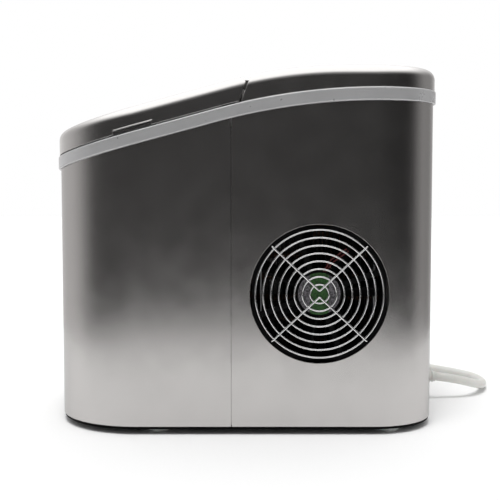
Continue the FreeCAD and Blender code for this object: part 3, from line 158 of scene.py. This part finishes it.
def bump(tree, heights, normal):
    """A chain of bumps on a normal, each (height output, depth in metres, strength)."""
    for height, depth, strength in heights:
        node = add(tree, "ShaderNodeBump", Strength=strength, Distance=depth)
        link(tree, height, node.inputs["Height"])
        if normal:
            link(tree, normal, node.inputs["Normal"])
        normal = node.outputs["Normal"]
    return normal


def material(name, colour, rough, metal=0.0, vary=0.06, spread=0.05, scale=30.0, grain=None,
             stretch=None, edge=0.0004, taps=8, **sockets):
    """A Principled material with mottled colour, uneven gloss and layers of fine relief.

    vary and spread are how far colour and roughness stray, and scale is the patches per metre.
    grain is a list of (kind, scale per metre, depth in metres, strength).
    edge is the radius in metres to which sharp edges look rounded, or 0 for none.
    """
    made = bpy.data.materials.new(name)
    made.use_nodes = True
    tree = made.node_tree
    shader = tree.nodes["Principled BSDF"]
    shader.inputs["Metallic"].default_value = metal
    for key, value in sockets.items():
        shader.inputs[key.replace("_", " ")].default_value = value
    coords = object_coords(tree)
    patches = noise(tree, coords, scale, 6.0, stretch)
    dark = tuple(max(0.0, c * (1 - vary)) for c in colour)
    light = tuple(min(1.0, c * (1 + vary)) for c in colour)
    link(tree, blend_colours(tree, ramp(tree, patches, 0.3, 0.7, 0, 1), dark, light),
         shader.inputs["Base Color"])
    gloss = noise(tree, coords, scale * 2.7, 5.0, stretch)
    link(tree, ramp(tree, gloss, 0.3, 0.7, rough - spread, rough + spread), shader.inputs["Roughness"])
    heights = []
    for kind, density, depth, strength in grain or []:
        if kind == "cells":
            heights.append((cells(tree, coords, density), depth, strength))
        else:
            heights.append((noise(tree, coords, density, 3.0, stretch if kind == "brushed" else None),
                            depth, strength))
    normal = add(tree, "ShaderNodeBevel", samples=taps, Radius=edge).outputs["Normal"] if edge else None
    link(tree, bump(tree, heights, normal), shader.inputs["Normal"])
    return made


MATERIALS = {}


def make_materials():
    m = MATERIALS
    flake = [("noise", 150.0, 0.00003, 0.05)]
    m["silver_paint"] = material("silver_paint", (0.53, 0.515, 0.505), 0.23, 1.0, 0.02, 0.02, 18.0, flake,
                                 Specular_Tint=(0.75, 0.75, 0.75, 1))
    m["silver_roof"] = material("silver_roof", (0.53, 0.518, 0.508), 0.22, 1.0, 0.02, 0.02, 22.0, flake,
                                edge=0.0009)
    m["band_grey"] = material("band_grey", (0.50, 0.50, 0.505), 0.30, 0.45, 0.03, 0.03, 40.0,
                              [("noise", 300.0, 0.00002, 0.05)], edge=0.0)
    dull = {"Specular_IOR_Level": 0.06}
    m["black_plastic"] = material("black_plastic", (0.0035, 0.0035, 0.0037), 0.6, 0.0, 0.25, 0.08, 60.0,
                                  [("cells", 1500.0, 0.00006, 0.35)], **dull)
    m["panel_black"] = material("panel_black", (0.012, 0.012, 0.014), 0.12, 0.0, 0.2, 0.03, 35.0,
                                [("noise", 500.0, 0.00001, 0.1)], Coat_Weight=0.6, Coat_Roughness=0.05)
    m["white_plastic"] = material("white_plastic", (0.80, 0.80, 0.77), 0.30, 0.0, 0.03, 0.06, 30.0,
                                  [("noise", 700.0, 0.00003, 0.15)], Subsurface_Weight=0.05)
    m["clear_plastic"] = material("clear_plastic", (0.86, 0.90, 0.92), 0.05, 0.0, 0.02, 0.02, 25.0,
                                  [("noise", 60.0, 0.00006, 0.08)], Transmission_Weight=1.0, IOR=1.49)
    m["smoked_plastic"] = material("smoked_plastic", (0.42, 0.45, 0.48), 0.04, 0.0, 0.02, 0.02, 25.0,
                                   [("noise", 60.0, 0.00006, 0.06)], Transmission_Weight=1.0, IOR=1.49)
    m["grey_rubber"] = material("grey_rubber", (0.62, 0.62, 0.60), 0.55, 0.0, 0.06, 0.06, 90.0,
                                [("noise", 1200.0, 0.00008, 0.3)], Subsurface_Weight=0.1)
    m["black_rubber"] = material("black_rubber", (0.02, 0.02, 0.02), 0.6, 0.0, 0.3, 0.08, 90.0,
                                 [("noise", 1200.0, 0.00008, 0.4)])
    m["steel"] = material("steel", (0.62, 0.61, 0.59), 0.28, 1.0, 0.08, 0.08, 200.0,
                          [("noise", 1500.0, 0.00003, 0.3)])
    m["galvanised"] = material("galvanised", (0.58, 0.59, 0.60), 0.40, 1.0, 0.04, 0.03, 120.0,
                               [("noise", 400.0, 0.00003, 0.2)])
    m["chrome"] = material("chrome", (0.80, 0.80, 0.80), 0.20, 1.0, 0.04, 0.05, 150.0,
                           [("noise", 900.0, 0.00003, 0.10)], edge=0.0001)
    m["nickel"] = material("nickel", (0.66, 0.64, 0.60), 0.22, 1.0, 0.07, 0.06, 90.0,
                           [("noise", 600.0, 0.00005, 0.2)])
    m["copper"] = material("copper", (0.70, 0.36, 0.22), 0.30, 1.0, 0.20, 0.10, 60.0,
                           [("noise", 500.0, 0.00005, 0.25)])
    # painted shade: the condenser tube's copper is darkened to stand for the shade inside the case behind the
    # fan
    m["copper_painted_shade"] = material("copper_painted_shade", (0.10, 0.055, 0.035), 0.5, 0.6, 0.35, 0.12, 60.0,
                                [("noise", 500.0, 0.00005, 0.25)])
    m["brass"] = material("brass", (0.72, 0.56, 0.28), 0.30, 1.0, 0.12, 0.08, 90.0,
                          [("noise", 700.0, 0.00004, 0.25)])
    # painted shade: the condenser fins are near black to stand for the shade inside the case behind the fan
    m["fins_painted_shade"] = material("fins_painted_shade", (0.016, 0.017, 0.018), 0.55, 0.0, 0.3, 0.1, 150.0,
                              [("brushed", 1200.0, 0.00003, 0.25)], (1, 1, 12), 0.0001, **dull)
    m["black_enamel"] = material("black_enamel", (0.012, 0.012, 0.012), 0.22, 0.0, 0.2, 0.06, 40.0,
                                 [("noise", 220.0, 0.0001, 0.2)], Coat_Weight=0.5, Coat_Roughness=0.1)
    m["foam"] = material("foam", (0.80, 0.75, 0.60), 0.85, 0.0, 0.10, 0.05, 80.0,
                         [("cells", 600.0, 0.0004, 0.5)])
    m["circuit"] = material("circuit", (0.02, 0.16, 0.06), 0.35, 0.0, 0.35, 0.1, 260.0,
                            [("cells", 500.0, 0.0001, 0.4)])
    m["cord_white"] = material("cord_white", (0.66, 0.66, 0.63), 0.38, 0.0, 0.05, 0.06, 60.0,
                               [("noise", 1400.0, 0.00005, 0.25)], Subsurface_Weight=0.04)
    m["hose"] = material("hose", (0.80, 0.83, 0.83), 0.30, 0.0, 0.04, 0.05, 60.0,
                         [("noise", 400.0, 0.00005, 0.2)], Transmission_Weight=0.35)
    m["lead_red"] = material("lead_red", (0.085, 0.005, 0.005), 0.4, 0.0, 0.1, 0.05, 90.0,
                             [("noise", 900.0, 0.00003, 0.2)], edge=0.0001)
    m["label"] = label_material()


LABEL_BAND = (0.0078, 0.0086)    # where the green ends, each side of the label's middle line


def label_material():
    """A blank fan label: silver film with a green band across the middle, both darkened as painted shade."""
    made = bpy.data.materials.new("label")
    made.use_nodes = True
    tree = made.node_tree
    shader = tree.nodes["Principled BSDF"]
    shader.inputs["Roughness"].default_value = 0.45
    coords = object_coords(tree)
    low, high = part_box("fan_label")
    across = math_node(tree, "SUBTRACT", axis_parts(tree, coords)["Y"], (low.y + high.y) / 2)
    edge = ramp(tree, math_node(tree, "ABSOLUTE", across), *LABEL_BAND, 0.0, 1.0)
    fleck = noise(tree, coords, 650.0, 5.0, None, 0.7)
    patchy = ramp(tree, fleck, 0.44, 0.56, 0.0, 1.0)
    # both colours are darkened to carry the painted shade the label sits in at the fan's hub
    green = blend_colours(tree, patchy, (0.004, 0.030, 0.002), (0.022, 0.125, 0.010))
    silver = blend_colours(tree, patchy, (0.020, 0.018, 0.022), (0.16, 0.15, 0.165))
    link(tree, blend_colours(tree, edge, green, silver), shader.inputs["Base Color"])
    return made


make_materials()

SLOT_OF = {entry["node"]: entry["material_slot"] for entry in frame["record"]["subparts"]}
# the condenser's fins and tube take darkened materials that carry painted shade
SPECIAL = {"lid_window": "smoked_plastic", "control_panel": "panel_black", "fan_leads": "lead_red",
           "condenser_fins": "fins_painted_shade", "condenser_tube": "copper_painted_shade"}


def dress_cad_nodes():
    """Gives every CAD node its material."""
    for name, node in NODES.items():
        slot = SLOT_OF[name]
        node.data.materials.clear()
        node.data.materials.append(MATERIALS[SPECIAL.get(name, slot)])


dress_cad_nodes()


# ================================================================ mesh making
def new_piece(name, bm, slot, body, *nodes, smooth=True):
    mesh = bpy.data.meshes.new(name)
    bmesh.ops.recalc_face_normals(bm, faces=bm.faces)
    bm.to_mesh(mesh)
    bm.free()
    for face in mesh.polygons:
        face.use_smooth = smooth
    piece = bpy.data.objects.new(name, mesh)
    piece.data.materials.append(MATERIALS[slot])
    bpy.context.scene.collection.objects.link(piece)
    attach(piece, body)
    if nodes:
        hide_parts(*nodes)
    return piece


# ================================================================ mains cord
def coil_points():
    """Four turns, two beside each other and two on top, wound anticlockwise seen from above."""
    cx, cy = COIL_CENTRE
    outer, inner = COIL_RING + CORD_R, COIL_RING - CORD_R
    low, high = CORD_R, 3 * CORD_R
    places = [(outer, low), (inner, low), (inner, high), (outer, high)]
    points = []
    for turn, (radius, height) in enumerate(places):
        following = places[min(turn + 1, len(places) - 1)]
        for step in range(POINTS_PER_TURN):
            part = step / POINTS_PER_TURN
            share = max(0.0, (part - CROSSING) / (1 - CROSSING))
            share = share * share * (3 - 2 * share)
            r = radius + (following[0] - radius) * share
            z = height + (following[1] - height) * share
            angle = math.pi + 2 * math.pi * part
            points.append((cx + r * math.cos(angle), cy + r * math.sin(angle), z))
    points.append((cx - outer, cy, high))
    return points


def cord_line():
    return CORD_ROUTE + coil_points() + TAIL_ROUTE


def make_cord():
    curve = bpy.data.curves.new("mains_cord", "CURVE")
    curve.dimensions = "3D"
    curve.bevel_depth = CORD_R * MM
    curve.bevel_resolution = 5
    curve.use_fill_caps = True
    curve.resolution_u = 8
    spline = curve.splines.new("NURBS")
    line = cord_line()
    spline.points.add(len(line) - 1)
    for point, place in zip(spline.points, line):
        point.co = (*[c * MM for c in place], 1)
    spline.order_u = 3
    spline.use_endpoint_u = True
    cord = bpy.data.objects.new("mains_cord", curve)
    cord.data.materials.append(MATERIALS["cord_white"])
    bpy.context.scene.collection.objects.link(cord)
    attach(cord, "case")
    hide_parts("power_cord", "cord_coil", "cord_tail")
    return cord


# ---------------------------------------------------------------- relief, plug and tie, millimetres
def loft(bm, stations, centre, power=2.0, segments=36):
    """Closed skin through rounded outlines along Y, each (y, half width, half height)."""
    rings = []
    for y, wide, high in stations:
        ring = []
        for k in range(segments):
            angle = 2 * math.pi * k / segments
            c, s = math.cos(angle), math.sin(angle)
            x = math.copysign(abs(c) ** (2 / power), c) * wide
            z = math.copysign(abs(s) ** (2 / power), s) * high
            ring.append(bm.verts.new(((centre[0] + x) * MM, y * MM, (centre[1] + z) * MM)))
        rings.append(ring)
    for first, second in zip(rings, rings[1:]):
        for k in range(segments):
            nxt = (k + 1) % segments
            bm.faces.new((first[k], first[nxt], second[nxt], second[k]))
    bm.faces.new(rings[0])
    bm.faces.new(rings[-1])


def ribbed(start, end, wide, narrow, count, groove):
    """Stations of a taper with ribs: flat crests with rounded shoulders, and grooves between."""
    pitch = (end - start) / count
    stations = []
    for k in range(count):
        for part, depth in ((0.0, 1.0), (0.12, 0.35), (0.24, 0.0), (0.62, 0.0), (0.74, 0.35), (0.86, 1.0)):
            at = start + pitch * (k + part)
            share = (at - start) / (end - start)
            r = wide + (narrow - wide) * share - groove * depth
            stations.append((at, r, r))
    return stations


SEAT_DEPTH = 4.4             # the relief's part that sits in the panel
RIBS_START = 2.9             # where the sleeve's ribs begin, past the panel's face


def make_relief():
    low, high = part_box("strain_relief")
    x, _, z = CORD_ROUTE[0]
    y0, y1 = low.y / MM, high.y / MM
    face = y0 + SEAT_DEPTH
    stations = [(y0, 8, 8), (face, 8, 8), (face + 0.01, 9.4, 9.4), (face + 0.6, 10, 10),
                (face + 1.6, 10, 10), (face + 2.2, 9.3, 9.3), (face + 2.6, 7.2, 7.2)]
    stations += ribbed(face + RIBS_START, y1 - 1.2, 7.2, 5.9, 6, 1.1)
    stations += [(y1 - 1.0, 5.4, 5.4), (y1 - 0.3, 5.3, 5.3), (y1, 5.0, 5.0)]
    bm = bmesh.new()
    loft(bm, stations, (x, z))
    return new_piece("relief_sleeve", bm, "cord_white", "case", "strain_relief")


def blade(bm, x, y, z, thick, deep, reach):
    """Flat contact with a tapered tip and a hole near its end."""
    hole_y, hole_r, steps = y - reach + 4.2, 1.5, 16
    outline = [(y + 1, z), (y - reach + 1.4, z), (y - reach, z + 1.2), (y - reach, z + deep - 1.2),
               (y - reach + 1.4, z + deep), (y + 1, z + deep)]
    middle = z + deep / 2
    hole = [(hole_y + hole_r * math.cos(2 * math.pi * k / steps),
             middle + hole_r * math.sin(2 * math.pi * k / steps)) for k in range(steps)]
    skins = []
    for side in (-thick / 2, thick / 2):
        outer = [bm.verts.new(((x + side) * MM, a * MM, b * MM)) for a, b in outline]
        inner = [bm.verts.new(((x + side) * MM, a * MM, b * MM)) for a, b in hole]
        edges = [bm.edges.new((loop[k], loop[(k + 1) % len(loop)])) for loop in (outer, inner)
                 for k in range(len(loop))]
        bmesh.ops.triangle_fill(bm, use_beauty=True, edges=edges)
        skins.append((outer, inner))
    for first, second in zip(skins[0], skins[1]):
        for k in range(len(first)):
            nxt = (k + 1) % len(first)
            bm.faces.new((first[k], first[nxt], second[nxt], second[k]))


PLUG_LENGTH = 34
PLUG_WIDE = 13.0             # half width of the grip
PLUG_HIGH = 10.0             # half height of the grip
GROOVE = (12.4, 9.6)
BLADE_APART = 6.35           # from the plug's middle
BLADE_SIZE = (1.5, 6.3, 16)  # thickness, depth and reach
PIN_R = 2.4
PIN_REACH = 19
PIN_BELOW = 4.6


def make_plug():
    x, y, z = TAIL_ROUTE[-1]
    face = y - PLUG_LENGTH
    grip = [(y - 0.1, 5.0, 5.0), (y - 0.5, 5.4, 5.4)] + ribbed(y - 1, y - 12, 5.9, 8.2, 4, 0.9)
    bm = bmesh.new()
    loft(bm, grip, (x, z))
    full = (PLUG_WIDE, PLUG_HIGH)
    body = [(y - 11.6, 7.5, 6.5), (y - 12.4, 10.2, 8.0), (y - 14, 12.0, 9.2), (y - 16.5, 12.9, 9.9)]
    for groove in (y - 19, y - 23):
        body += [(groove, *full), (groove - 0.5, *GROOVE), (groove - 1.5, *GROOVE), (groove - 2, *full)]
    body += [(y - 32.6, *full), (y - 33.6, 12.6, 9.6), (face, 11.8, 8.8)]
    loft(bm, body, (x, z), 4.0, 56)
    shell = new_piece("plug_body", bm, "cord_white", "case", "plug")
    bm = bmesh.new()
    for side in (-BLADE_APART, BLADE_APART):
        blade(bm, x + side, face, z - 1.2, *BLADE_SIZE)
    tip = face - PIN_REACH
    pin = [(at, r, r) for at, r in ((face + 1, PIN_R), (tip + 2.2, PIN_R), (tip + 1.0, 2.1),
                                    (tip + 0.3, 1.4), (tip, 0.6))]
    loft(bm, pin, (x, z - PIN_BELOW), 2.0, 24)
    contacts = new_piece("plug_contacts", bm, "brass", "case", smooth=False)
    return [shell, contacts]


TIE_REACH = 9.2              # from the middle of the bundle to the strap's sides
TIE_TOP = 18.1
TIE_BEND = 4.4
TIE_THICK = 1.1
TIE_HALF = 4.8               # half of the strap's width


def make_tie():
    """Strap over the bundled turns, from the floor up one side and down the other."""
    x = COIL_CENTRE[0] + COIL_RING
    y = COIL_CENTRE[1]
    reach, top, bend, thick, half = TIE_REACH, TIE_TOP, TIE_BEND, TIE_THICK, TIE_HALF
    path = [(-reach, 0.0), (-reach, top - bend)]
    path += [(-reach + bend - bend * math.cos(math.radians(a)), top - bend + bend * math.sin(math.radians(a)))
             for a in range(15, 91, 15)]
    path += [(reach - bend + bend * math.sin(math.radians(a)), top - bend + bend * math.cos(math.radians(a)))
             for a in range(0, 91, 15)]
    path.append((reach, 0.0))
    bm = bmesh.new()
    loops = []
    for k, (a, b) in enumerate(path):
        before, after = path[max(k - 1, 0)], path[min(k + 1, len(path) - 1)]
        along = Vector((after[0] - before[0], after[1] - before[1])).normalized()
        out = Vector((-along.y, along.x)) * thick
        corners = [(a, -half), (a + out.x, -half + 0.3), (a + out.x, half - 0.3), (a, half)]
        heights = [b, b + out.y, b + out.y, b]
        loops.append([bm.verts.new(((x + u) * MM, (y + v) * MM, max(h, 0.0) * MM))
                      for (u, v), h in zip(corners, heights)])
    for first, second in zip(loops, loops[1:]):
        for k in range(4):
            nxt = (k + 1) % 4
            bm.faces.new((first[k], first[nxt], second[nxt], second[k]))
    bm.faces.new(loops[0])
    bm.faces.new(loops[-1])
    return new_piece("tie_strap", bm, "black_rubber", "case", "cord_tie", smooth=False)


mains_cord = make_cord()
cord_pieces = make_plug() + [make_relief(), make_tie()]


# ================================================================ studio
def make_floor():
    reach = 6.0
    made = bpy.data.materials.new("floor_white")
    made.use_nodes = True
    tree = made.node_tree
    shader = tree.nodes["Principled BSDF"]
    shader.inputs["Roughness"].default_value = 0.6
    shader.inputs["Specular IOR Level"].default_value = 0.0
    coords = object_coords(tree)
    grain = noise(tree, coords, 400.0, 3.0)
    link(tree, blend_colours(tree, grain, (0.90, 0.90, 0.90), (0.93, 0.93, 0.93)),
         shader.inputs["Base Color"])
    mesh = bpy.data.meshes.new("floor")
    mesh.from_pydata([(-reach, -reach, 0), (reach, -reach, 0), (reach, reach, 0), (-reach, reach, 0)],
                     [], [(0, 1, 2, 3)])
    mesh.materials.append(made)
    floor = bpy.data.objects.new("floor", mesh)
    bpy.context.scene.collection.objects.link(floor)


WALL_CENTRE = 0.05
WALL_RADIUS = 0.66
WALL_TOP = 1.15
NEAR_FLOOR = 0.02
FLOOR_GLOW = 0.052           # height over which the wall's glow near the floor fades
CEILING = 1.95
CEILING_STARTS_ENDS = (0.44, 1.05)
# what the paint sees round the room: angle in degrees from the camera side, radiance
ROUND_ROOM = [(-180, 0.95), (-141, 0.95), (-120, 0.78), (-99, 0.64), (-87, 0.47), (-77, 0.26), (-66, 0.10),
              (-50, 0.055), (0, 0.046), (30, 0.028), (65, 0.026), (76, 0.07), (86, 0.23), (97, 0.36),
              (118, 0.34), (140, 0.75), (180, 0.95)]


def room_material():
    """Glow of the studio walls: dark ahead, paler at the sides, melting into floor and ceiling."""
    made = bpy.data.materials.new("room")
    made.use_nodes = True
    tree = made.node_tree
    tree.nodes.clear()
    parts = axis_parts(tree, object_coords(tree))
    ahead = math_node(tree, "SUBTRACT", parts["X"], WALL_CENTRE)
    angle = math_node(tree, "ARCTAN2", parts["Y"], ahead)
    turn = math_node(tree, "MULTIPLY_ADD", angle, 0.5 / math.pi, 0.5)
    colours = add(tree, "ShaderNodeValToRGB")
    link(tree, turn, colours.inputs["Fac"])
    stops = colours.color_ramp.elements
    while len(stops) < len(ROUND_ROOM):
        stops.new(0.5)
    for stop, (degrees, level) in zip(stops, ROUND_ROOM):
        stop.position = degrees / 360 + 0.5
        stop.color = (level, level * 0.985, level * 0.98, 1)
    fading = math_node(tree, "EXPONENT", math_node(tree, "MULTIPLY", parts["Z"], -1 / FLOOR_GLOW))
    near_floor = math_node(tree, "MULTIPLY", fading, NEAR_FLOOR)
    near_ceiling = ramp(tree, parts["Z"], *CEILING_STARTS_ENDS, 0.0, 1.0, "SMOOTHSTEP")
    share = math_node(tree, "MAXIMUM", near_floor, near_ceiling)
    glow = blend_colours(tree, share, colours.outputs["Color"], (CEILING, CEILING, CEILING))
    emission = add(tree, "ShaderNodeEmission", Strength=1.0)
    link(tree, glow, emission.inputs["Color"])
    out = add(tree, "ShaderNodeOutputMaterial")
    link(tree, emission.outputs[0], out.inputs["Surface"])
    return made


def make_room():
    """A round wall that shows in reflections and nowhere else."""
    panels = 72
    ring = [(WALL_CENTRE + WALL_RADIUS * math.cos(2 * math.pi * k / panels),
             WALL_RADIUS * math.sin(2 * math.pi * k / panels)) for k in range(panels)]
    corners = [(x, y, z) for z in (0.0, WALL_TOP) for x, y in ring]
    faces = [(k, (k + 1) % panels, panels + (k + 1) % panels, panels + k) for k in range(panels)]
    faces.append(tuple(range(panels, 2 * panels)))
    mesh = bpy.data.meshes.new("room")
    mesh.from_pydata(corners, [], faces)
    mesh.materials.append(room_material())
    wall = bpy.data.objects.new("room", mesh)
    bpy.context.scene.collection.objects.link(wall)
    wall.visible_camera = False
    wall.visible_diffuse = False
    wall.visible_shadow = False
    wall.visible_transmission = False


SKY_LOW = 0.35
SKY_HIGH = 0.75
BEHIND = (-0.45, -0.15)      # X of the direction at which the pale wall behind starts to fade, and ends
SUN_ENERGY = 1.7
SUN_ANGLE = 24
SUN_TILT = (4, 16)


def make_lights():
    scene = bpy.context.scene
    world = bpy.data.worlds.new("studio")
    scene.world = world
    world.use_nodes = True
    tree = world.node_tree
    background = tree.nodes["Background"]
    background.inputs["Color"].default_value = (1, 1, 1, 1)
    parts = axis_parts(tree, add(tree, "ShaderNodeTexCoord").outputs["Generated"])
    overhead = ramp(tree, parts["Z"], 0.0, 1.0, SKY_LOW, SKY_HIGH)
    behind = ramp(tree, parts["X"], *BEHIND, 1.0, 0.0)
    glow = math_node(tree, "MAXIMUM", overhead, behind)
    backdrop = add(tree, "ShaderNodeLightPath").outputs["Is Camera Ray"]
    link(tree, math_node(tree, "MAXIMUM", glow, backdrop), background.inputs["Strength"])
    key = bpy.data.lights.new("key", "SUN")
    key.energy = SUN_ENERGY
    key.angle = math.radians(SUN_ANGLE)
    lamp = bpy.data.objects.new("key", key)
    lamp.rotation_euler = (*[math.radians(tilt) for tilt in SUN_TILT], 0)
    lamp.visible_glossy = False
    scene.collection.objects.link(lamp)
    scene.view_settings.view_transform = "Standard"


make_floor()
make_room()
make_lights()
